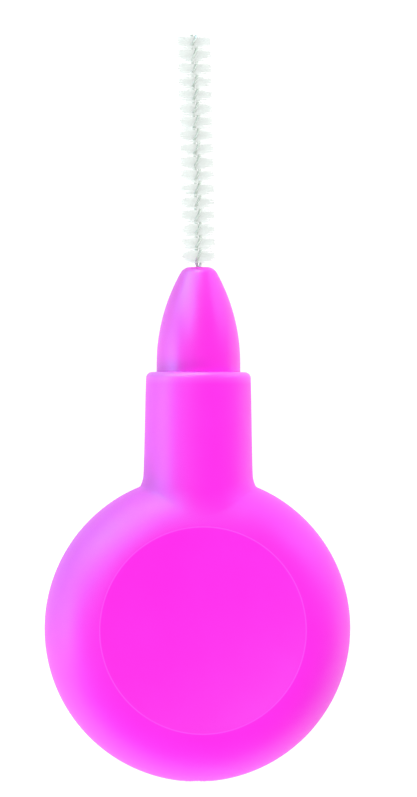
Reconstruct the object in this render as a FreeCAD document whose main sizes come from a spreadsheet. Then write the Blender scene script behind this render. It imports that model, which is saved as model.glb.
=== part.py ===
import FreeCAD, Part
import math
import os
import Sketcher

# An interdental brush: a soft disc grip moulded over a hard holder, whose nose carries a twisted-wire brush.
# It lies on a table at z = 0 on the rim of its lower dish, with the brush pointing along +Y.
# The origin is on the table under the middle of the part's length. Sizes are in millimetres and degrees.

SIZES = {
    # soft grip: a round disc with a shallow finger dish in each face
    "grip_diameter": 20.0,
    "grip_thickness": 8.0,
    "dish_diameter": 13.4,
    "dish_depth": 0.9,
    "land_width": 0.3,
    # neck: the sleeve of the grip that rises from the disc and ends in a round-edged rim
    "neck_length": 6.73,
    "neck_root_diameter": 7.1,
    "neck_rim_diameter": 6.84,
    "neck_rim_radius": 0.4,
    "neck_blend_radius": 0.7,
    # holder: bullet-shaped nose, ribbed stem inside the neck, plate inside the disc
    "nose_diameter": 5.48,
    "nose_length": 6.85,
    "nose_seat_length": 0.5,
    "nose_tip_diameter": 1.94,
    "nose_tip_radius": 0.75,
    "stem_diameter": 4.4,
    "stem_root_depth": 2.4,
    "rib_diameter": 5.2,
    "rib_width": 0.7,
    "rib_spacing": 1.9,
    "rib_count": 3,
    "plate_diameter": 12.4,
    "plate_thickness": 2.2,
    "plate_edge_radius": 0.5,
    "window_diameter": 2.4,
    "window_circle_diameter": 7.6,
    "window_count": 3,
    # wire: one length folded in half, its two strands twisted right-handed
    "strand_diameter": 0.22,
    "twist_pitch": 1.748,
    "twist_angle_at_nose": -67.0,
    "anchor_depth": 5.0,
    "wire_tip_length": 0.15,
    # bristles: straight filaments held between the strands, each across the whole brush
    "bristle_gap": 0.26,
    "bristle_length": 14.75,
    "brush_diameter": 2.2,
    "filament_diameter": 0.07,
    "filament_clearance": 0.005,
    "filaments_per_row": 10,
    "row_count": 17,
}

doc = FreeCAD.newDocument("interdental_brush")
sheet = doc.addObject("Spreadsheet::Sheet", "Sizes")
for line, (name, number) in enumerate(SIZES.items(), 1):
    sheet.set(f"A{line}", name)
    sheet.set(f"B{line}", str(number))
    sheet.setAlias(f"B{line}", name)
doc.recompute()

# Levels along the brush, measured from the grip's centre, and other sizes that several pieces share
GRIP_RADIUS = "(Sizes.grip_diameter / 2)"
DISH_RADIUS = "(Sizes.dish_diameter / 2)"
HALF_THICKNESS = "(Sizes.grip_thickness / 2)"
LAND_RADIUS = f"({DISH_RADIUS} + Sizes.land_width)"
RIM = f"({GRIP_RADIUS} + Sizes.neck_length)"
NOSE_TOP = f"({RIM} + Sizes.nose_length)"
FOLD = f"({NOSE_TOP} - Sizes.anchor_depth)"
FILAMENT_STEP = "(Sizes.bristle_length / (Sizes.row_count * Sizes.filaments_per_row - 1))"
FIRST_FILAMENT = f"({NOSE_TOP} + Sizes.bristle_gap)"
BEND_END = f"({FIRST_FILAMENT} + (Sizes.filaments_per_row - 0.5) * {FILAMENT_STEP})"
WIRE_TIP = f"({FIRST_FILAMENT} + Sizes.bristle_length + Sizes.wire_tip_length)"
PLATE_RADIUS = "(Sizes.plate_diameter / 2)"
STRAND_RADIUS = "(Sizes.strand_diameter / 2)"
STRAND_OFFSET = f"({STRAND_RADIUS} + Sizes.filament_diameter / 2 + Sizes.filament_clearance)"

# Where the grip's centre stands in the part's frame
GRIP_Y = f"(({GRIP_RADIUS} - {WIRE_TIP}) / 2)"
AXIS_Z = HALF_THICKNESS

ALONG_BRUSH = FreeCAD.Vector(0, 1, 0)
UP = FreeCAD.Vector(0, 0, 1)


def value(expression):
    """The number that an expression on the sheet gives."""
    return float(sheet.evalExpression(expression))


def bind(thing, **expressions):
    """Tie properties of an object to expressions on the sheet."""
    for name, expression in expressions.items():
        thing.setExpression(name, expression)


def stand(thing, level, twisted=False):
    """Place an object on the brush's axis at a level, turned with the wire's twist if asked."""
    turn = twist_at(level) if twisted else "0"
    thing.Placement.Rotation = FreeCAD.Rotation(ALONG_BRUSH, value(turn))
    thing.setExpression("Placement.Base.y", f"{GRIP_Y} + {level}")
    thing.setExpression("Placement.Base.z", AXIS_Z)
    if twisted:
        thing.setExpression("Placement.Rotation.Angle", turn)


def twist_at(level):
    """How far the wire has turned about its axis at a level, in degrees."""
    return f"(Sizes.twist_angle_at_nose + 360 * ({level} - {NOSE_TOP}) / Sizes.twist_pitch)"


def new_body(name):
    body = doc.addObject("PartDesign::Body", name)
    body.Label = name
    return body


def datum(body, role):
    """One of a body's own origin planes or axes."""
    return next(feature for feature in body.Origin.OriginFeatures if feature.Role == role)


def new_sketch(body, name, plane):
    sketch = body.newObject("Sketcher::SketchObject", name)
    sketch.AttachmentSupport = [(datum(body, plane), "")]
    sketch.MapMode = "FlatFace"
    return sketch


def start(side):
    """The pair of numbers by which a sketch knows the first point of a side."""
    return side, 1


def end(side):
    return side, 2


def centre(side):
    return side, 3


def origin():
    """The sketch's own origin, which is the first point of its own across axis."""
    return start(-1)


def measure(sketch, kind, *where, size):
    """Add a dimension to a sketch and tie it to an expression."""
    number = sketch.addConstraint(Sketcher.Constraint(kind, *where, value(size)))
    sketch.setExpression(f"Constraints[{number}]", size)


def meet(sketch, point, other, how="Coincident"):
    """Join or line up two points of a sketch."""
    sketch.addConstraint(Sketcher.Constraint(how, *point, *other))


def pin(sketch, point, across=None, up=None):
    """Hold a point of a sketch at expressions measured from its origin. None leaves that direction free."""
    for kind, in_line, size in (("DistanceX", "Vertical", across), ("DistanceY", "Horizontal", up)):
        if size == "0":
            meet(sketch, origin(), point, in_line)
        elif size:
            measure(sketch, kind, *origin(), *point, size=size)


def arc(middle, first, last):
    """A circular arc that runs anticlockwise from one point to another."""
    (x, y), (a, b), (c, d) = middle, first, last
    circle = Part.Circle(FreeCAD.Vector(x, y, 0), UP, math.hypot(a - x, b - y))
    return Part.ArcOfCircle(circle, math.atan2(b - y, a - x), math.atan2(d - y, c - x))


def segment(first, last):
    return Part.LineSegment(FreeCAD.Vector(*first, 0), FreeCAD.Vector(*last, 0))


def polygon(sketch, corners):
    """A closed outline of straight sides through corners given as pairs of expressions."""
    points = [(value(x), value(y)) for x, y in corners]
    for number, point in enumerate(points):
        sketch.addGeometry(segment(point, points[(number + 1) % len(points)]))
    for number, (x, y) in enumerate(corners):
        meet(sketch, end((number or len(corners)) - 1), start(number))
        pin(sketch, start(number), x, y)


def circle(sketch, across, up, radius):
    """A circle whose centre and radius are expressions."""
    middle = FreeCAD.Vector(value(across), value(up), 0)
    number = sketch.addGeometry(Part.Circle(middle, UP, value(radius)))
    pin(sketch, centre(number), across, up)
    measure(sketch, "Radius", number, size=radius)


def revolve(body, sketch, name, axis, angle="360", backwards=False):
    feature = body.newObject("PartDesign::Revolution", name)
    feature.Profile = sketch
    feature.ReferenceAxis = (datum(body, axis), [""])
    feature.Reversed = backwards
    bind(feature, Angle=angle)
    doc.recompute()
    return feature


def round_edges(body, name, radius, chosen):
    """Fillet the edges of a body's last feature that a test chooses."""
    base = body.Tip
    names = [
        f"Edge{number}"
        for number, edge in enumerate(base.Shape.Edges, 1)
        if not edge.Degenerated and chosen(edge)
    ]
    feature = body.newObject("PartDesign::Fillet", name)
    feature.Base = (base, names)
    bind(feature, Radius=radius)
    doc.recompute()
    return feature


def is_ring(edge, radius, level):
    """Whether an edge is a circle about the brush's axis at a level."""
    if not isinstance(edge.Curve, Part.Circle):
        return False
    right_size = math.isclose(edge.Curve.Radius, value(radius), abs_tol=1e-4)
    return right_size and math.isclose(edge.Curve.Center.y, value(level), abs_tol=1e-4)


def disc_outline(sketch):
    """Half the disc's section: dish and land, one round edge, and the same again below."""
    thickness, inner, outer = value(HALF_THICKNESS), value(DISH_RADIUS), value(LAND_RADIUS)
    depth = value("Sizes.dish_depth")
    floor = thickness - depth
    dish_radius = (inner**2 + depth**2) / (2 * depth)
    # The edge's arc runs from land to land through the disc's outermost point
    bulge = f"({GRIP_RADIUS} - {LAND_RADIUS})"
    edge_radius = f"(({bulge}^2 + {HALF_THICKNESS}^2) / (2 * {bulge}))"
    edge_centre = value(f"{GRIP_RADIUS} - {edge_radius}")
    sides = [
        arc((0, floor + dish_radius), (0, floor), (inner, thickness)),
        segment((inner, thickness), (outer, thickness)),
        arc((edge_centre, 0), (outer, -thickness), (outer, thickness)),
        segment((outer, -thickness), (inner, -thickness)),
        arc((0, -floor - dish_radius), (inner, -thickness), (0, -floor)),
        segment((0, -floor), (0, floor)),
    ]
    upper_dish, upper_land, edge, lower_land, lower_dish, axis = sketch.addGeometry(sides)
    meet(sketch, end(upper_dish), start(upper_land))
    meet(sketch, end(upper_land), end(edge))
    meet(sketch, start(edge), start(lower_land))
    meet(sketch, end(lower_land), start(lower_dish))
    meet(sketch, end(lower_dish), start(axis))
    meet(sketch, end(axis), start(upper_dish))
    pin(sketch, centre(upper_dish), across="0")
    pin(sketch, centre(lower_dish), across="0")
    across_axis, _ = origin()
    mirrored = (
        (start(upper_dish), end(lower_dish)),
        (end(upper_dish), start(lower_dish)),
        (end(upper_land), start(lower_land)),
    )
    for upper, lower in mirrored:
        sketch.addConstraint(Sketcher.Constraint("Symmetric", *upper, *lower, across_axis))
    sketch.addConstraint(Sketcher.Constraint("Horizontal", upper_land))
    pin(sketch, start(upper_dish), across="0", up=f"{HALF_THICKNESS} - Sizes.dish_depth")
    pin(sketch, end(upper_dish), across=DISH_RADIUS, up=HALF_THICKNESS)
    pin(sketch, end(upper_land), across=LAND_RADIUS)
    measure(sketch, "Radius", edge, size=edge_radius)


def make_grip_form():
    """The soft grip's outer form, solid: the dished disc, and the neck blended into it."""
    body = new_body("grip_form")
    stand(body, "0")
    section = new_sketch(body, "disc_section", "XZ_Plane")
    disc_outline(section)
    revolve(body, section, "disc", "Z_Axis")

    # The neck tapers like a moulding with draft, and starts under the land, inside the disc
    taper = "((Sizes.neck_root_diameter - Sizes.neck_rim_diameter) / 2 / Sizes.neck_length)"
    rim_radius = "(Sizes.neck_rim_diameter / 2)"
    foot_radius = f"({rim_radius} + {taper} * ({RIM} - {DISH_RADIUS}))"
    section = new_sketch(body, "neck_section", "XY_Plane")
    polygon(section, [("0", DISH_RADIUS), (foot_radius, DISH_RADIUS), (rim_radius, RIM), ("0", RIM)])
    revolve(body, section, "neck", "Y_Axis")

    round_edges(body, "rim_round", "Sizes.neck_rim_radius", lambda edge: is_ring(edge, rim_radius, RIM))
    # Only the crease where the neck leaves the disc is neither a circle nor a straight line
    round_edges(
        body,
        "neck_blend",
        "Sizes.neck_blend_radius",
        lambda edge: isinstance(edge.Curve, Part.BSplineCurve),
    )
    return body


def make_holder_form():
    """The hard holder without its wire: plate with windows, ribbed stem, collar and bullet-shaped nose."""
    body = new_body("holder_form")
    stand(body, "0")
    section = new_sketch(body, "plate_section", "XY_Plane")
    circle(section, "0", "0", PLATE_RADIUS)
    plate = body.newObject("PartDesign::Pad", "plate")
    plate.Profile = section
    plate.Midplane = True
    bind(plate, Length="Sizes.plate_thickness")
    doc.recompute()
    round_edges(
        body,
        "plate_round",
        "Sizes.plate_edge_radius",
        lambda edge: isinstance(edge.Curve, Part.Circle),
    )

    # The soft material flows through the windows and locks the plate in the disc
    section = new_sketch(body, "window_section", "XY_Plane")
    below = "-Sizes.window_circle_diameter / 2"
    circle(section, "0", below, "Sizes.window_diameter / 2")
    window = body.newObject("PartDesign::Pocket", "window")
    window.Profile = section
    window.Type = "ThroughAll"
    window.Midplane = True
    doc.recompute()
    windows = body.newObject("PartDesign::PolarPattern", "windows")
    windows.Originals = [window]
    windows.Axis = (datum(body, "Z_Axis"), [""])
    bind(windows, Occurrences="Sizes.window_count", Angle="360")
    body.Tip = windows
    doc.recompute()

    # The nose overhangs the stem to cover the rim's inner edge. Both are round about the brush's axis
    stem_radius = "(Sizes.stem_diameter / 2)"
    stem_root = f"({PLATE_RADIUS} - Sizes.stem_root_depth)"
    section = new_sketch(body, "stem_section", "XY_Plane")
    polygon(section, [("0", stem_root), (stem_radius, stem_root), (stem_radius, RIM), ("0", RIM)])
    revolve(body, section, "stem", "Y_Axis")
    section = new_sketch(body, "nose_section", "XY_Plane")
    nose_outline(section)
    revolve(body, section, "nose", "Y_Axis")
    round_edges(
        body,
        "nose_round",
        "Sizes.nose_tip_radius",
        lambda edge: is_ring(edge, "Sizes.nose_tip_diameter / 2", NOSE_TOP),
    )

    # Ribs on the stem keep the soft sleeve from pulling off
    rib_radius = "(Sizes.rib_diameter / 2)"
    bottom = f"({RIM} - Sizes.rib_spacing)"
    top = f"({bottom} + Sizes.rib_width)"
    section = new_sketch(body, "rib_section", "XY_Plane")
    polygon(section, [("0", bottom), (rib_radius, bottom), (rib_radius, top), ("0", top)])
    rib = revolve(body, section, "rib", "Y_Axis")
    ribs = body.newObject("PartDesign::LinearPattern", "ribs")
    ribs.Originals = [rib]
    ribs.Direction = (datum(body, "Y_Axis"), [""])
    ribs.Reversed = True
    bind(ribs, Occurrences="Sizes.rib_count", Length="Sizes.rib_spacing * (Sizes.rib_count - 1)")
    body.Tip = ribs
    doc.recompute()
    return body


def nose_outline(sketch):
    """Half the nose's section: a straight seat on the rim, and one arc up to the flat tip."""
    radius, tip = value("Sizes.nose_diameter / 2"), value("Sizes.nose_tip_diameter / 2")
    bottom, top = value(RIM), value(NOSE_TOP)
    seat = bottom + value("Sizes.nose_seat_length")
    narrowing, rise = radius - tip, top - seat
    arc_radius = (narrowing**2 + rise**2) / (2 * narrowing)
    sides = [
        segment((0, bottom), (radius, bottom)),
        segment((radius, bottom), (radius, seat)),
        arc((radius - arc_radius, seat), (radius, seat), (tip, top)),
        segment((tip, top), (0, top)),
        segment((0, top), (0, bottom)),
    ]
    floor, wall, curve, flat, axis = sketch.addGeometry(sides)
    for side, following in zip((floor, wall, curve, flat, axis), (wall, curve, flat, axis, floor)):
        meet(sketch, end(side), start(following))
    pin(sketch, start(floor), "0", RIM)
    pin(sketch, start(wall), "Sizes.nose_diameter / 2", RIM)
    pin(sketch, start(curve), "Sizes.nose_diameter / 2", f"{RIM} + Sizes.nose_seat_length")
    pin(sketch, centre(curve), up=f"{RIM} + Sizes.nose_seat_length")
    pin(sketch, start(flat), "Sizes.nose_tip_diameter / 2", NOSE_TOP)
    pin(sketch, end(flat), "0", NOSE_TOP)


def add_strand(body, name, side, length):
    """Twist one strand up from a body's own level. side is 1 for strand a and -1 for strand b."""
    section = new_sketch(body, f"{name}_section", "XZ_Plane")
    middle = FreeCAD.Vector(side * value(STRAND_OFFSET), 0, 0)
    number = section.addGeometry(Part.Circle(middle, UP, value(STRAND_RADIUS)))
    points = (origin(), centre(number))
    left, right = points if side > 0 else reversed(points)
    measure(section, "DistanceX", *left, *right, size=STRAND_OFFSET)
    pin(section, centre(number), up="0")
    measure(section, "Radius", number, size=STRAND_RADIUS)
    strand = body.newObject("PartDesign::AdditiveHelix", name)
    strand.Profile = section
    strand.ReferenceAxis = (datum(body, "Y_Axis"), [""])
    bind(strand, Pitch="Sizes.twist_pitch", Height=length)
    doc.recompute()
    return section


def make_strand(name, side, bottom, top):
    """A twisted strand of the wire between two levels."""
    body = new_body(name)
    stand(body, bottom, twisted=True)
    add_strand(body, f"{name}_twist", side, f"{top} - {bottom}")
    return body


def make_wire_anchor():
    """The wire inside the nose: the fold at its bottom, and both strands twisted up to the nose's top."""
    body = new_body("wire_anchor")
    stand(body, FOLD, twisted=True)
    section = new_sketch(body, "fold_section", "XZ_Plane")
    circle(section, STRAND_OFFSET, "0", STRAND_RADIUS)
    revolve(body, section, "fold", "Z_Axis", angle="180", backwards=True)
    add_strand(body, "anchor_a", 1, f"{NOSE_TOP} - {FOLD}")
    add_strand(body, "anchor_b", -1, f"{NOSE_TOP} - {FOLD}")
    return body


def make_filament(number):
    """One straight nylon filament across the brush, between the strands."""
    level = f"({FIRST_FILAMENT} + {number} * {FILAMENT_STEP})"
    turn = twist_at(level)
    filament = doc.addObject("Part::Cylinder", f"filament_{number + 1:03}")
    filament.Placement.Rotation = FreeCAD.Rotation(ALONG_BRUSH, value(turn))
    bind(filament, Radius="Sizes.filament_diameter / 2", Height="Sizes.brush_diameter")
    filament.setExpression("Placement.Rotation.Angle", turn)
    filament.setExpression("Placement.Base.x", f"-Sizes.brush_diameter / 2 * sin({turn})")
    filament.setExpression("Placement.Base.y", f"{GRIP_Y} + {level}")
    filament.setExpression("Placement.Base.z", f"{AXIS_Z} - Sizes.brush_diameter / 2 * cos({turn})")
    return filament


def group(name, things):
    """A node made of several separate solids."""
    compound = doc.addObject("Part::Compound", name)
    compound.Label = name
    compound.Links = things
    return compound


def cut_out(name, base, tool):
    """A node made by moulding one piece round another."""
    cut = doc.addObject("Part::Cut", name)
    cut.Label = name
    cut.Base = base
    cut.Tool = tool
    return cut


# The wire comes first, the holder is moulded round its fold, and the grip round the holder
wire_anchor = make_wire_anchor()
holder_form = make_holder_form()
brush_holder = cut_out("brush_holder", holder_form, wire_anchor)
grip = cut_out("grip", make_grip_form(), holder_form)
bend_zone = group(
    "wire_bend_zone",
    [make_strand("bend_a", 1, NOSE_TOP, BEND_END), make_strand("bend_b", -1, NOSE_TOP, BEND_END)],
)
nodes = [
    grip,
    brush_holder,
    wire_anchor,
    bend_zone,
    make_strand("wire_strand_a", 1, BEND_END, WIRE_TIP),
    make_strand("wire_strand_b", -1, BEND_END, WIRE_TIP),
]

# A row of bristles spans about half a turn of the wire, which shows as one tuft on each side
per_row = int(value("Sizes.filaments_per_row"))
for row in range(int(value("Sizes.row_count"))):
    filaments = [make_filament(row * per_row + place) for place in range(per_row)]
    nodes.append(group(f"bristle_row_{row + 1:02}", filaments))
doc.recompute()

for thing in doc.Objects:
    if "Invalid" in thing.State or "Error" in thing.State:
        raise RuntimeError(f"{thing.Label} failed: {thing.getStatusString()}")
for node in nodes:
    if node.Shape.isNull() or not node.Shape.isValid():
        raise RuntimeError(f"{node.Label} has no valid shape")

os.makedirs("parts", exist_ok=True)
for node in nodes:
    node.Shape.exportStep(f"parts/{node.Label}.step")
    print(node.Label, len(node.Shape.Solids), round(node.Shape.Volume, 4))
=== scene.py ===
import math
import random

import bpy
from mathutils import Matrix, Vector


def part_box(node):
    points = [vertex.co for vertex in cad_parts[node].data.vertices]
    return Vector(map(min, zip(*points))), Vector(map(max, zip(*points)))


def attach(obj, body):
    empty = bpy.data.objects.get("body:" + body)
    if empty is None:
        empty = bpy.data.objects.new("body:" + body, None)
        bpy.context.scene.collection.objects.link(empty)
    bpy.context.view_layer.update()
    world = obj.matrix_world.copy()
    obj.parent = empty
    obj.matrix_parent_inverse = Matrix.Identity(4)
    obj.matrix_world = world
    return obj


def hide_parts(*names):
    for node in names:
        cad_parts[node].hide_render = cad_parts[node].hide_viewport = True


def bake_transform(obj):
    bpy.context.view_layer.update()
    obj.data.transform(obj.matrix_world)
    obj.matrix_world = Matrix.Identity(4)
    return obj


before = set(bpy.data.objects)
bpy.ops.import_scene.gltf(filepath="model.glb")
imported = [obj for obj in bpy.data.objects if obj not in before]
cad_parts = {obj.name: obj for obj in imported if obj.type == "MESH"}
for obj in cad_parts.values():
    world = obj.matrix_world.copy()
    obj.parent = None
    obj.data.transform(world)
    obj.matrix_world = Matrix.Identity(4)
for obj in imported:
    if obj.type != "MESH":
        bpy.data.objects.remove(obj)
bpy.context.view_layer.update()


# Twisted wire
# One length of thin steel wire, folded in half and twisted right-handed round the filaments. Its fold is
# moulded into the nose, and its two ends are cut square at the tip. The user bends it just above the nose.

MM = 0.001
STRAND_RADIUS = 0.11 * MM
STRAND_OFFSET = 0.15 * MM
TWIST_PITCH = 1.748 * MM
TWIST_AT_NOSE = math.radians(-67)
WIRE_INSIDE_NOSE = 0.6 * MM
TIP_LEAN = 0.37 * MM
LEAN_POWER = 1.3
STRAND_SIDES = 14
STEPS_PER_TURN = 28
STRAND_SMOOTH_ANGLE = math.radians(50)
GROOVE_FLOOR = 0.12 * MM
GROOVE_TOP = 0.22 * MM
DRAWN_LINE_WIDTH = 0.05 * MM
DRAWN_LINE_DEPTH = 0.004 * MM
DRAWN_LINE_DETAIL = 3.0
DRAWN_LINE_STRETCH = (1, 0.15, 1)
WIRE_ROUGHNESS = 0.5
DRAWN_LINE_ROUGHNESS = 0.2
WIRE_COLOUR = (0.82, 0.88, 0.81, 1)
WIRE_DULL_COLOUR = (0.70, 0.76, 0.69, 1)
GROOVE_SHADE_COLOUR = (0.48, 0.54, 0.48, 1)

bend_low, bend_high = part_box("wire_bend_zone")
NOSE_TOP = bend_low.y
BEND_END = bend_high.y
WIRE_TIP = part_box("wire_strand_a")[1].y
AXIS_Z = (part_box("brush_holder")[0].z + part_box("brush_holder")[1].z) / 2


class Shade:
    """A socket in a material's node tree.

    Arithmetic on it adds Math nodes, and node() adds any other node.
    """

    def __init__(self, tree, socket=None):
        self.tree = tree
        self.socket = socket

    def node(self, kind, settings=(), inputs=(), output=0):
        """Add a node: first its settings, then the values or links of its sockets."""
        added = self.tree.nodes.new(kind)
        for name, setting in dict(settings).items():
            setattr(added, name, setting)
        for name, given in dict(inputs).items():
            if isinstance(given, Shade):
                self.tree.links.new(given.socket, added.inputs[name])
            else:
                added.inputs[name].default_value = given
        return Shade(self.tree, added.outputs[output])

    def maths(self, operation, first, second):
        return self.node("ShaderNodeMath", {"operation": operation}, {0: first, 1: second})

    def __add__(self, other):
        return self.maths("ADD", self, other)

    def __sub__(self, other):
        return self.maths("SUBTRACT", self, other)

    def __rsub__(self, other):
        return self.maths("SUBTRACT", other, self)

    def __mul__(self, other):
        return self.maths("MULTIPLY", self, other)

    def __pow__(self, other):
        return self.maths("POWER", self, other)

    __radd__ = __add__
    __rmul__ = __mul__

    def place(self, centre=(0, 0, 0)):
        """The piece's own coordinates, in metres from a centre."""
        own = self.node("ShaderNodeTexCoord", output="Object")
        return self.node("ShaderNodeVectorMath", {"operation": "SUBTRACT"}, {0: own, 1: centre})

    def band(self, width):
        """1 where this value is 0, falling to 0 at a width on each side."""
        return self.maths("MAXIMUM", 1 - self.maths("ABSOLUTE", self, 0) * (1 / width), 0)

    def colours(self, low, high):
        """A colour between two, chosen by this value from 0 to 1."""
        mix = {"data_type": "RGBA", "clamp_factor": True}
        return self.node("ShaderNodeMix", mix, {0: self, 6: low, 7: high}, output=2)

    def grain(self, size, detail=2.0, stretch=(1, 1, 1)):
        """Noise from 0 to 1 with grains of a size in metres, on the piece's own coordinates."""
        place = self.node("ShaderNodeTexCoord", output="Object")
        scaled = self.node("ShaderNodeMapping", {}, {"Vector": place, "Scale": stretch})
        return self.node(
            "ShaderNodeTexNoise", {}, {"Vector": scaled, "Scale": 1 / size, "Detail": detail}
        )

    def bumps(self, height, depth):
        """A surface normal from a height of 0 to 1 that stands a depth in metres proud."""
        return self.node("ShaderNodeBump", {}, {"Strength": 1.0, "Distance": depth, "Height": height})

    def into(self, shader, name):
        self.tree.links.new(self.socket, shader.inputs[name])


def new_finish(name, **constants):
    """A material with a plain shader, whose constant sockets are set, and a Shade to add its nodes with."""
    material = bpy.data.materials.new(name)
    material.use_nodes = True
    shader = material.node_tree.nodes["Principled BSDF"]
    for socket, constant in constants.items():
        shader.inputs[socket.replace("_", " ")].default_value = constant
    return material, shader, Shade(material.node_tree)


def put_on(piece, material):
    piece.data.materials.clear()
    piece.data.materials.append(material)


def only(piece):
    """Select one object and make it active, with nothing else selected."""
    bpy.ops.object.select_all(action="DESELECT")
    piece.select_set(True)
    bpy.context.view_layer.objects.active = piece


def apply_modifier(piece, kind, **settings):
    """Add a modifier to a piece with its settings, and apply it."""
    only(piece)
    modifier = piece.modifiers.new(kind.title(), kind)
    for name, setting in settings.items():
        setattr(modifier, name, setting)
    bpy.ops.object.modifier_apply(modifier=modifier.name)


def twist_at(level):
    """How far the wire has turned about its axis at a level, in radians."""
    return TWIST_AT_NOSE + math.tau * (level - NOSE_TOP) / TWIST_PITCH


def lean_at(level):
    """How far the brush leans to the left at a level, from nothing at the nose."""
    share = max(0, (level - NOSE_TOP) / (WIRE_TIP - NOSE_TOP))
    return -TIP_LEAN * share**LEAN_POWER


def make_strand(side):
    """One strand: a circle square to its own slope, carried up the axis by a screw. side is 0 or 1."""
    start = NOSE_TOP - WIRE_INSIDE_NOSE
    slope = math.atan(math.tau * STRAND_OFFSET / TWIST_PITCH)
    length = WIRE_TIP - STRAND_RADIUS * math.sin(slope) - start
    bpy.ops.object.select_all(action="DESELECT")
    bpy.ops.mesh.primitive_circle_add(vertices=STRAND_SIDES, radius=STRAND_RADIUS)
    strand = bpy.context.object
    lie_across = Matrix.Rotation(math.pi / 2 + slope, 4, "X")
    turn = Matrix.Rotation(twist_at(start) + side * math.pi, 4, "Y")
    strand.data.transform(turn @ Matrix.Translation((STRAND_OFFSET, 0, 0)) @ lie_across)
    turns = length / TWIST_PITCH
    apply_modifier(
        strand,
        "SCREW",
        axis="Y",
        angle=turns * math.tau,
        screw_offset=length,
        steps=round(turns * STEPS_PER_TURN),
        render_steps=round(turns * STEPS_PER_TURN),
        use_smooth_shade=True,
    )
    strand.data.transform(Matrix.Translation((0, start, AXIS_Z)))
    bpy.ops.object.mode_set(mode="EDIT")
    bpy.ops.mesh.select_all(action="SELECT")
    bpy.ops.mesh.fill_holes(sides=0)
    bpy.ops.mesh.select_all(action="SELECT")
    bpy.ops.mesh.normals_make_consistent(inside=False)
    bpy.ops.object.mode_set(mode="OBJECT")
    return strand


wire = make_strand(0)
other_strand = make_strand(1)
only(wire)
other_strand.select_set(True)
bpy.ops.object.join()
wire.name = "twisted_wire"
# The strands are painted darker towards the twist's axis: painted shade in the groove where they meet.
painted_groove_shade = wire.data.attributes.new("painted_groove_shade", "FLOAT", "POINT")
for vertex in wire.data.vertices:
    from_axis = math.hypot(vertex.co.x, vertex.co.z - AXIS_Z)
    depth = (GROOVE_TOP - from_axis) / (GROOVE_TOP - GROOVE_FLOOR)
    painted_groove_shade.data[vertex.index].value = min(1, max(0, depth))
    vertex.co.x += lean_at(vertex.co.y)
bpy.ops.object.shade_smooth_by_angle(angle=STRAND_SMOOTH_ANGLE)

steel, shader, shade = new_finish("coated_steel", Metallic=0.1, Specular_IOR_Level=0.15)
lines = shade.grain(DRAWN_LINE_WIDTH, DRAWN_LINE_DETAIL, DRAWN_LINE_STRETCH)
# The colour turns darker along the groove between the strands: painted shade.
in_groove_shade = shade.node("ShaderNodeAttribute", {"attribute_name": "painted_groove_shade"}, output="Fac")
drawn = lines.colours(WIRE_DULL_COLOUR, WIRE_COLOUR)
in_groove_shade.colours(drawn, GROOVE_SHADE_COLOUR).into(shader, "Base Color")
(WIRE_ROUGHNESS + DRAWN_LINE_ROUGHNESS * lines).into(shader, "Roughness")
shade.bumps(lines, DRAWN_LINE_DEPTH).into(shader, "Normal")
put_on(wire, steel)
put_on(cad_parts["wire_anchor"], steel)
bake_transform(wire)
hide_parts("wire_bend_zone", "wire_strand_a", "wire_strand_b")


# Bristles
# Fine white nylon filaments, each caught at its middle between the wire's strands and trimmed to one length.
# The twist winds them into a double ramp, which shows as a tuft on each side for each half turn.

FILAMENT_RADIUS = 0.035 * MM
FILAMENT_SIDES = 5
FILAMENT_CUTS = 4
FILAMENT_SMOOTH_ANGLE = math.radians(60)
FILAMENTS_PER_ROW = 84
BRUSH_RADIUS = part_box("bristle_row_05")[1].x
TIP_TAPER = 0.7
ROOT_SPREAD = 0.03 * MM
LEVEL_SPREAD = 0.05 * MM
TURN_SPREAD = math.radians(26)
TRIM_SPREAD = 0.02
BOW = 0.05 * MM
STREAK_SIZE = 0.3 * MM
NYLON_DULL_COLOUR = (0.28, 0.30, 0.29, 1)
NYLON_PALE_COLOUR = (0.34, 0.36, 0.35, 1)
ROOT_SOLIDITY = 0.17
TIP_SOLIDITY = 0.44
NYLON_PAINTED_LIGHT_COLOUR = (0.96, 1.0, 0.97, 1)
NYLON_PAINTED_LIGHT = 0.58
ALONG_BRUSH = Vector((0, 1, 0))

rows = sorted(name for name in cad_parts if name.startswith("bristle_row"))


def make_filament():
    """One straight filament along X from -1 to 1, divided along it, with its ends drawn in a little."""
    bpy.ops.object.select_all(action="DESELECT")
    bpy.ops.mesh.primitive_cylinder_add(
        vertices=FILAMENT_SIDES, radius=FILAMENT_RADIUS, depth=2, rotation=(0, math.pi / 2, 0)
    )
    filament = bpy.context.object
    bpy.ops.object.transform_apply(location=False, rotation=True, scale=False)
    bpy.ops.object.mode_set(mode="EDIT")
    bpy.ops.mesh.select_mode(type="EDGE")
    bpy.ops.mesh.select_all(action="DESELECT")
    bpy.ops.object.mode_set(mode="OBJECT")
    points = filament.data.vertices
    for edge in filament.data.edges:
        first, last = edge.vertices
        runs_along = abs(points[first].co.x - points[last].co.x) > 1
        edge.select = runs_along
    bpy.ops.object.mode_set(mode="EDIT")
    bpy.ops.mesh.subdivide(number_cuts=FILAMENT_CUTS)
    bpy.ops.object.mode_set(mode="OBJECT")
    for vertex in filament.data.vertices:
        at_end = abs(vertex.co.x) > 0.99
        if at_end:
            vertex.co.y *= TIP_TAPER
            vertex.co.z *= TIP_TAPER
    return filament


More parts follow.
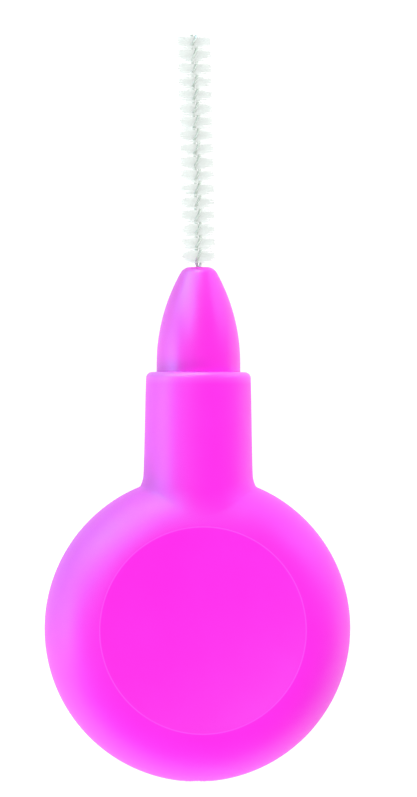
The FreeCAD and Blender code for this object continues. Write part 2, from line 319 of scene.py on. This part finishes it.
def lay_filament(points, level, chance):
    """The points of a filament caught at a level, turned with the wire and bent a little by chance."""
    turn = twist_at(level) + chance.gauss(0, TURN_SPREAD)
    across = Vector((math.cos(turn), 0, -math.sin(turn)))
    out = Vector((math.sin(turn), 0, math.cos(turn)))
    root = Vector((lean_at(level), level, AXIS_Z)) + across * chance.uniform(-ROOT_SPREAD, ROOT_SPREAD)
    ends = {
        side: (
            BRUSH_RADIUS * (1 - abs(chance.gauss(0, TRIM_SPREAD))),
            chance.gauss(0, BOW),
            min(chance.gauss(0, LEVEL_SPREAD), WIRE_TIP - FILAMENT_RADIUS - level),
        )
        for side in (-1, 1)
    }
    laid = []
    for point in points:
        length, bow, rise = ends[1 if point.x > 0 else -1]
        share = abs(point.x)
        sideways = point.z + bow * share**2
        along = point.y + rise * share
        laid.append(root + out * (point.x * length) + across * sideways + ALONG_BRUSH * along)
    return laid


filament = make_filament()
straight = [vertex.co.copy() for vertex in filament.data.vertices]
sides = [tuple(face.vertices) for face in filament.data.polygons]
bpy.data.objects.remove(filament)

# The nylon glows a little: painted light, standing in for light that passes through the fine translucent
# filaments.
nylon, shader, shade = new_finish(
    "white_nylon",
    Roughness=0.4,
    Specular_IOR_Level=0.2,
    Emission_Color=NYLON_PAINTED_LIGHT_COLOUR,
    Emission_Strength=NYLON_PAINTED_LIGHT,
)
streaks = shade.grain(STREAK_SIZE)
streaks.colours(NYLON_DULL_COLOUR, NYLON_PALE_COLOUR).into(shader, "Base Color")
reach = shade.node("ShaderNodeAttribute", {"attribute_name": "reach"}, output="Fac")
(ROOT_SOLIDITY + (TIP_SOLIDITY - ROOT_SOLIDITY) * reach).into(shader, "Alpha")

for number, row in enumerate(rows, 1):
    chance = random.Random(number)
    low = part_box(row)[0].y + FILAMENT_RADIUS
    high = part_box(row)[1].y - FILAMENT_RADIUS
    points = []
    faces = []
    for count in range(FILAMENTS_PER_ROW):
        level = low + (high - low) * count / (FILAMENTS_PER_ROW - 1)
        faces += [[corner + len(points) for corner in side] for side in sides]
        points += lay_filament(straight, level, chance)
    mesh = bpy.data.meshes.new(f"tuft_{number:02}")
    mesh.from_pydata(points, [], faces)
    reached = mesh.attributes.new("reach", "FLOAT", "POINT")
    reached.data.foreach_set("value", [abs(point.x) for point in straight] * FILAMENTS_PER_ROW)
    tuft = bpy.data.objects.new(mesh.name, mesh)
    bpy.context.collection.objects.link(tuft)
    only(tuft)
    bpy.ops.object.shade_smooth_by_angle(angle=FILAMENT_SMOOTH_ANGLE)
    put_on(tuft, nylon)
    if low < BEND_END:
        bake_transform(tuft)
    else:
        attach(tuft, "brush")
    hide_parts(row)


# Holder
# A hard plastic moulding round the wire's fold: the bullet-shaped nose, a ribbed stem inside the neck and a
# plate inside the disc. Its shape is the frame's own, so only its finish is made here.

NOSE_MOTTLE_SIZE = 2 * MM
NOSE_GRAIN_SIZE = 0.12 * MM
NOSE_GRAIN_DEPTH = 0.002 * MM
NOSE_COLOUR = (0.93, 0.024, 0.73, 1)
NOSE_PALE_COLOUR = (0.96, 0.032, 0.77, 1)

hard_plastic, shader, shade = new_finish("hard_plastic", Roughness=0.42, Specular_IOR_Level=0.8)
shade.grain(NOSE_MOTTLE_SIZE).colours(NOSE_COLOUR, NOSE_PALE_COLOUR).into(shader, "Base Color")
shade.bumps(shade.grain(NOSE_GRAIN_SIZE), NOSE_GRAIN_DEPTH).into(shader, "Normal")
put_on(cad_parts["brush_holder"], hard_plastic)


# Grip
# A soft elastomer moulding over the holder: a thick disc with a shallow finger dish in each face, and a neck
# with a flared foot and a round rim. The disc's lower pole keeps the mark of the mould's gate.

GRIP_RADIUS = 10 * MM
DISH_RADIUS = 6.7 * MM
DISH_DEPTH = 0.9 * MM
CREST_WIDTH = 0.055 * MM
CREST_SEGMENTS = 4
EDGE_ARC_STEPS = 28
DISH_ARC_STEPS = 22
NECK_RIM_RADIUS = 3.42 * MM
NECK_ROOT_RADIUS = 3.55 * MM
NECK_LENGTH = 6.73 * MM
RIM_ROUND = 0.4 * MM
RIM_ARC_STEPS = 7
SIDE_FLARE = 0.22 * MM
SIDE_FLARE_HEIGHT = 0.95 * MM
FACE_FLARE = 0.26 * MM
FACE_FLARE_HEIGHT = 1.6 * MM
NECK_DEPTH = 6.75 * MM
NECK_RING_STEP = 0.1 * MM
FOOT_BLEND = 1.3 * MM
FOOT_BLEND_ROUNDS = 25
FOOT_BLEND_STEP = 0.5
SIDE_BLEND_SHARE = 0.2
DISC_STEPS = 160
NECK_STEPS = 128
MERGE_DISTANCE = 0.002 * MM
RING_TOLERANCE = 0.01 * MM
GRIP_SMOOTH_ANGLE = math.radians(38)
GATE_RADIUS = 1.2 * MM
GATE_DEPTH = 0.08 * MM
GATE_ROUGHNESS = 0.04 * MM
GATE_SIDES = 28
GATE_CUTS = 3
GATE_SEED = 5
SEAM_WIDTH = 0.06 * MM
SEAM_HEIGHT = 0.02 * MM
GRIP_MOTTLE_SIZE = 3 * MM
GRIP_GRAIN_SIZE = 0.15 * MM
GRIP_GRAIN_HEIGHT = 0.1
GRIP_ROUGHNESS = 0.47
GRIP_GRAIN_ROUGHNESS = 0.06
RIM_POLISH = 0.1
GRIP_COLOUR = (0.93, 0.021, 0.76, 1)
GRIP_PALE_COLOUR = (0.96, 0.029, 0.80, 1)
CREST_HIGHLIGHT_COLOUR = (0.97, 0.085, 0.88, 1)
RIM_HIGHLIGHT_COLOUR = (0.97, 0.10, 0.88, 1)

grip_low, grip_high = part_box("grip")
HALF_THICKNESS = (grip_high.z - grip_low.z) / 2
GRIP_CENTRE = Vector((0, grip_low.y + GRIP_RADIUS, AXIS_Z))


def arc(centre, radius, first, last, count):
    """Points on an arc between two angles, both ends included."""
    angles = [first + (last - first) * step / count for step in range(count + 1)]
    return [(centre[0] + radius * math.cos(a), centre[1] + radius * math.sin(a)) for a in angles]


def disc_section():
    """Half the disc's section, from the lower dish's middle round the edge to the upper dish's middle."""
    bulge = GRIP_RADIUS - DISH_RADIUS
    edge_radius = (bulge**2 + HALF_THICKNESS**2) / (2 * bulge)
    edge_centre = (GRIP_RADIUS - edge_radius, 0)
    crest = math.asin(HALF_THICKNESS / edge_radius)
    dish_radius = (DISH_RADIUS**2 + DISH_DEPTH**2) / (2 * DISH_DEPTH)
    dish_centre = (0, HALF_THICKNESS - DISH_DEPTH + dish_radius)
    dish_edge = math.asin(DISH_RADIUS / dish_radius)
    upper = arc(edge_centre, edge_radius, 0, crest, EDGE_ARC_STEPS)
    dish = arc(dish_centre, dish_radius, dish_edge - math.pi / 2, -math.pi / 2, DISH_ARC_STEPS)
    upper += dish[1:]
    lower = [(r, -z) for r, z in reversed(upper)]
    return lower[:-1] + upper


def spin_section(name, section, axis, steps):
    """A solid made by spinning a section, given as distance from an axis and level along it."""
    along = Vector((0, 0, 1)) if axis == "Z" else ALONG_BRUSH
    mesh = bpy.data.meshes.new(name)
    points = [Vector((r, 0, 0)) + along * level for r, level in section]
    mesh.from_pydata(points, [(step, step + 1) for step in range(len(points) - 1)], [])
    solid = bpy.data.objects.new(name, mesh)
    bpy.context.collection.objects.link(solid)
    only(solid)
    bpy.ops.object.mode_set(mode="EDIT")
    bpy.ops.mesh.select_all(action="SELECT")
    bpy.ops.mesh.spin(steps=steps, angle=math.tau, center=(0, 0, 0), axis=along)
    bpy.ops.mesh.select_all(action="SELECT")
    bpy.ops.mesh.remove_doubles(threshold=MERGE_DISTANCE)
    bpy.ops.mesh.normals_make_consistent(inside=False)
    bpy.ops.object.mode_set(mode="OBJECT")
    return solid


def bevel_rings(solid, radius, level, width, segments):
    """Round the edges that ring the Z axis at a radius and a level, on both faces."""
    only(solid)
    bpy.ops.object.mode_set(mode="EDIT")
    bpy.ops.mesh.select_mode(type="EDGE")
    bpy.ops.mesh.select_all(action="DESELECT")
    bpy.ops.object.mode_set(mode="OBJECT")
    points = solid.data.vertices

    def on_ring(number):
        place = points[number].co
        near = abs(math.hypot(place.x, place.y) - radius) < RING_TOLERANCE
        return near and abs(abs(place.z) - level) < RING_TOLERANCE

    for edge in solid.data.edges:
        edge.select = all(on_ring(number) for number in edge.vertices)
    bpy.ops.object.mode_set(mode="EDIT")
    bpy.ops.mesh.bevel(offset=width, segments=segments, affect="EDGES")
    bpy.ops.object.mode_set(mode="OBJECT")


def neck_section():
    """Half the neck's section, from its closed foot inside the disc up round its rim and in to the axis."""
    rim = GRIP_RADIUS + NECK_LENGTH
    taper = (NECK_ROOT_RADIUS - NECK_RIM_RADIUS) / NECK_LENGTH
    foot_rings = round((GRIP_RADIUS - NECK_DEPTH) / NECK_RING_STEP)
    levels = [NECK_DEPTH + NECK_RING_STEP * step for step in range(foot_rings)]
    levels += [GRIP_RADIUS + NECK_LENGTH * share for share in (0, 0.25, 0.5, 0.75)]
    side = [(NECK_RIM_RADIUS + taper * (rim - level), level) for level in levels]
    round_centre = (NECK_RIM_RADIUS - RIM_ROUND, rim - RIM_ROUND)
    rounded = arc(round_centre, RIM_ROUND, 0, math.pi / 2, RIM_ARC_STEPS)
    return [(0, NECK_DEPTH)] + side + rounded + [(0, rim)]


def make_gate_cutter():
    """A short round bar at the disc's lower pole, whose uneven end cuts the flat left by the gate."""
    bpy.ops.object.select_all(action="DESELECT")
    bpy.ops.mesh.primitive_cylinder_add(
        vertices=GATE_SIDES,
        radius=GATE_RADIUS,
        depth=GATE_RADIUS,
        end_fill_type="TRIFAN",
        rotation=(math.pi / 2, 0, 0),
    )
    cutter = bpy.context.object
    bpy.ops.object.transform_apply(location=False, rotation=True, scale=False)
    bpy.ops.object.mode_set(mode="EDIT")
    bpy.ops.mesh.select_all(action="SELECT")
    bpy.ops.mesh.subdivide(number_cuts=GATE_CUTS)
    bpy.ops.object.mode_set(mode="OBJECT")
    chance = random.Random(GATE_SEED)
    for vertex in cutter.data.vertices:
        on_cutting_end = vertex.co.y > 0.49 * GATE_RADIUS
        if on_cutting_end:
            vertex.co.y += chance.uniform(-GATE_ROUGHNESS, GATE_ROUGHNESS)
        vertex.co.y += GATE_DEPTH - GRIP_RADIUS - GATE_RADIUS / 2
    return cutter


def disc_radius_at(height, outline):
    """The disc's radius at a height above its middle plane, read from its outline."""
    height = abs(height)
    for (r1, z1), (r2, z2) in zip(outline, outline[1:]):
        if z1 <= height <= z2 and r1 >= DISH_RADIUS - MM:
            return r1 + (r2 - r1) * (height - z1) / max(z2 - z1, 1e-9)
    return DISH_RADIUS


def flare_foot(neck, outline):
    """Widen the neck towards the disc, higher up on its faces than at its sides."""
    for vertex in neck.data.vertices:
        x, y, z = vertex.co
        radius = math.hypot(x, z)
        if radius > NECK_RIM_RADIUS - RIM_ROUND and y < GRIP_RADIUS + FACE_FLARE_HEIGHT:
            facing = (z / radius)**2
            flare = SIDE_FLARE + (FACE_FLARE - SIDE_FLARE) * facing
            height = SIDE_FLARE_HEIGHT + (FACE_FLARE_HEIGHT - SIDE_FLARE_HEIGHT) * facing
            widest = 1 + flare / radius
            crease = math.sqrt(disc_radius_at(z * widest, outline)**2 - (x * widest)**2)
            share = min(1, 1 - (y - crease) / height)
            if share > 0:
                grown = 1 + flare * share**2 / radius
                vertex.co.x *= grown
                vertex.co.z *= grown


def soften_foot(solid, outline):
    """Smooth the crease between the neck and the disc, less at the sides and not past a blend's width."""
    foot = solid.vertex_groups.new(name="foot")
    for vertex in solid.data.vertices:
        x, y, z = vertex.co
        from_disc = math.hypot(x, y) - disc_radius_at(z, outline)
        from_neck = math.hypot(x, z) - NECK_ROOT_RADIUS
        from_crest = math.hypot(x, y) - DISH_RADIUS - 2 * CREST_WIDTH
        near = min(1 - max(from_disc, from_neck) / FOOT_BLEND, 2 * from_crest / FOOT_BLEND)
        if y > 0 and near > 0:
            facing = min(1, SIDE_BLEND_SHARE + abs(z) / NECK_ROOT_RADIUS)
            foot.add([vertex.index], facing * min(1, near), "REPLACE")
    apply_modifier(
        solid, "SMOOTH", factor=FOOT_BLEND_STEP, iterations=FOOT_BLEND_ROUNDS, vertex_group="foot"
    )
    solid.vertex_groups.clear()


section = disc_section()
grip = spin_section("soft_grip", section, "Z", DISC_STEPS)
bevel_rings(grip, DISH_RADIUS, HALF_THICKNESS, CREST_WIDTH, CREST_SEGMENTS)
neck = spin_section("neck", neck_section(), "Y", NECK_STEPS)
upper_half = [point for point in section if point[1] >= 0]
flare_foot(neck, upper_half)
apply_modifier(grip, "BOOLEAN", operation="UNION", object=neck, solver="EXACT")
bpy.data.objects.remove(neck)
soften_foot(grip, upper_half)
cutter = make_gate_cutter()
apply_modifier(grip, "BOOLEAN", operation="DIFFERENCE", object=cutter, solver="EXACT")
bpy.data.objects.remove(cutter)
grip.data.transform(Matrix.Translation(GRIP_CENTRE))
only(grip)
bpy.ops.object.shade_smooth_by_angle(angle=GRIP_SMOOTH_ANGLE)

soft_rubber, shader, shade = new_finish("soft_rubber", Specular_IOR_Level=0.8)
from_centre = shade.place(GRIP_CENTRE)
across, along, up = (shade.node("ShaderNodeSeparateXYZ", {}, {0: from_centre}, axis) for axis in "XYZ")
from_axis = (across * across + along * along) ** 0.5
# A thin paler line along each dish's crest is a painted highlight on that edge.
crest = (from_axis - DISH_RADIUS).band(CREST_WIDTH)
seam = up.band(SEAM_WIDTH)
rim_level = GRIP_RADIUS + NECK_LENGTH
# A paler band round the neck's rim is a painted highlight on its rounded edge; the rim is also a little
# glossier there.
rim = (along - rim_level).band(2 * RIM_ROUND)
rubber = shade.grain(GRIP_MOTTLE_SIZE).colours(GRIP_COLOUR, GRIP_PALE_COLOUR)
with_rim_highlight = rim.colours(rubber, RIM_HIGHLIGHT_COLOUR)
crest.colours(with_rim_highlight, CREST_HIGHLIGHT_COLOUR).into(shader, "Base Color")
fine = shade.grain(GRIP_GRAIN_SIZE)
uneven = GRIP_ROUGHNESS + GRIP_GRAIN_ROUGHNESS * fine
(uneven - RIM_POLISH * rim).into(shader, "Roughness")
shade.bumps(seam + GRIP_GRAIN_HEIGHT * fine, SEAM_HEIGHT).into(shader, "Normal")
put_on(grip, soft_rubber)
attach(grip, "handle")
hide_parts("grip")


# Floor, lights and camera
# A white table that glows a little, so that it takes no shadow, under soft studio light. White fill lights
# give the colour. Cool sheen lights, most of them low, give the gloss. The camera looks down on the brush.

FLOOR_SIZE = 4.0
VIEW_CENTRE = Vector((0.665 * MM, 0.63 * MM, AXIS_Z))
CAMERA_DISTANCE = 420 * MM
CAMERA_YAW = math.radians(5.2)
CAMERA_ROLL = math.radians(0.18)
FRAME_HEIGHT = 52 * MM
SENSOR = 36
LIGHT_DISTANCE = 400 * MM
LIGHT_SIZE = 200 * MM
CLIP_START = 10 * MM
FLOOR_BASE_COLOUR = (0.3, 0.3, 0.3, 1)
FLOOR_ROUGHNESS = 0.2
FLOOR_GLOW = 0.9
LEFT_FLOOR_REACH = 60 * MM
FLOOR_GLOW_COLOUR = (1, 1, 1, 1)
LEFT_FLOOR_GLOW_COLOUR = (1.0, 2.4, 2.6, 1)
FILL_COLOUR = (1, 1, 1)
SHEEN_COLOUR = (0.06, 0.55, 1.0)

bpy.ops.object.select_all(action="DESELECT")
bpy.ops.mesh.primitive_plane_add(size=FLOOR_SIZE)
floor = bpy.context.object
floor.name = "floor"
pale, shader, shade = new_finish(
    "pale_floor",
    Base_Color=FLOOR_BASE_COLOUR,
    Roughness=FLOOR_ROUGHNESS,
    Emission_Strength=FLOOR_GLOW,
)
# The floor's left side glows brighter and cooler: painted light, which the grip's left edge reflects.
to_left = -1 * shade.node("ShaderNodeSeparateXYZ", {}, {0: shade.place()}, "X")
left_glow_share = shade.node("ShaderNodeMapRange", {}, {"Value": to_left, "From Max": LEFT_FLOOR_REACH})
left_glow_share.colours(FLOOR_GLOW_COLOUR, LEFT_FLOOR_GLOW_COLOUR).into(shader, "Emission Color")
pale.cycles.emission_sampling = "NONE"
put_on(floor, pale)


def softbox(name, bearing, height, power, colour):
    """A soft light that faces the brush, at a bearing from +X towards +Y and a height, both in degrees."""
    light = bpy.data.lights.new(name, "AREA")
    light.size = LIGHT_SIZE
    light.energy = power
    light.color = colour
    light.cycles.use_multiple_importance_sampling = False
    lamp = bpy.data.objects.new(name, light)
    turn = Matrix.Rotation(math.radians(bearing), 3, "Z") @ Matrix.Rotation(-math.radians(height), 3, "Y")
    towards = turn @ Vector((1, 0, 0))
    lamp.location = VIEW_CENTRE + towards * LIGHT_DISTANCE
    lamp.rotation_euler = towards.to_track_quat("Z", "Y").to_euler()
    lamp.visible_camera = False
    bpy.context.collection.objects.link(lamp)
    return lamp


def fill_light(name, bearing, height, power):
    softbox(name, bearing, height, power, FILL_COLOUR).visible_glossy = False


def sheen_light(name, bearing, height, power):
    softbox(name, bearing, height, power, SHEEN_COLOUR).visible_diffuse = False


fill_light("right_fill", 0, 65, 1.14)
fill_light("far_right_fill", 60, 12, 0.59)
fill_light("far_left_fill", 120, 40, 0.55)
fill_light("near_left_fill", 235, 15, 0.96)
fill_light("near_fill", 270, 40, 0.34)
sheen_light("far_right_sheen", 35, 15, 0.42)
sheen_light("far_sheen", 95, 10, 2.1)
sheen_light("high_left_sheen", 130, 40, 1.05)
sheen_light("far_left_sheen", 135, 9, 1.7)
sheen_light("left_sheen", 180, 9, 1.2)

world = bpy.data.worlds.new("studio")
bpy.context.scene.world = world
world.use_nodes = True
world.node_tree.nodes["Background"].inputs["Color"].default_value = (1, 1, 1, 1)
world.node_tree.nodes["Background"].inputs["Strength"].default_value = 1.0
world.cycles_visibility.diffuse = False
world.cycles_visibility.glossy = False

camera = bpy.data.objects.new("camera", bpy.data.cameras.new("camera"))
bpy.context.collection.objects.link(camera)
camera.data.sensor_width = SENSOR
camera.data.lens = SENSOR * CAMERA_DISTANCE / FRAME_HEIGHT
camera.data.clip_start = CLIP_START
away = Vector((-math.sin(CAMERA_YAW), 0, math.cos(CAMERA_YAW)))
camera.location = VIEW_CENTRE + away * CAMERA_DISTANCE
upward = Matrix.Rotation(CAMERA_ROLL, 3, away) @ ALONG_BRUSH
camera.rotation_euler = Matrix((upward.cross(away), upward, away)).transposed().to_euler()
bpy.context.scene.camera = camera
bpy.context.scene.view_settings.view_transform = "Standard"
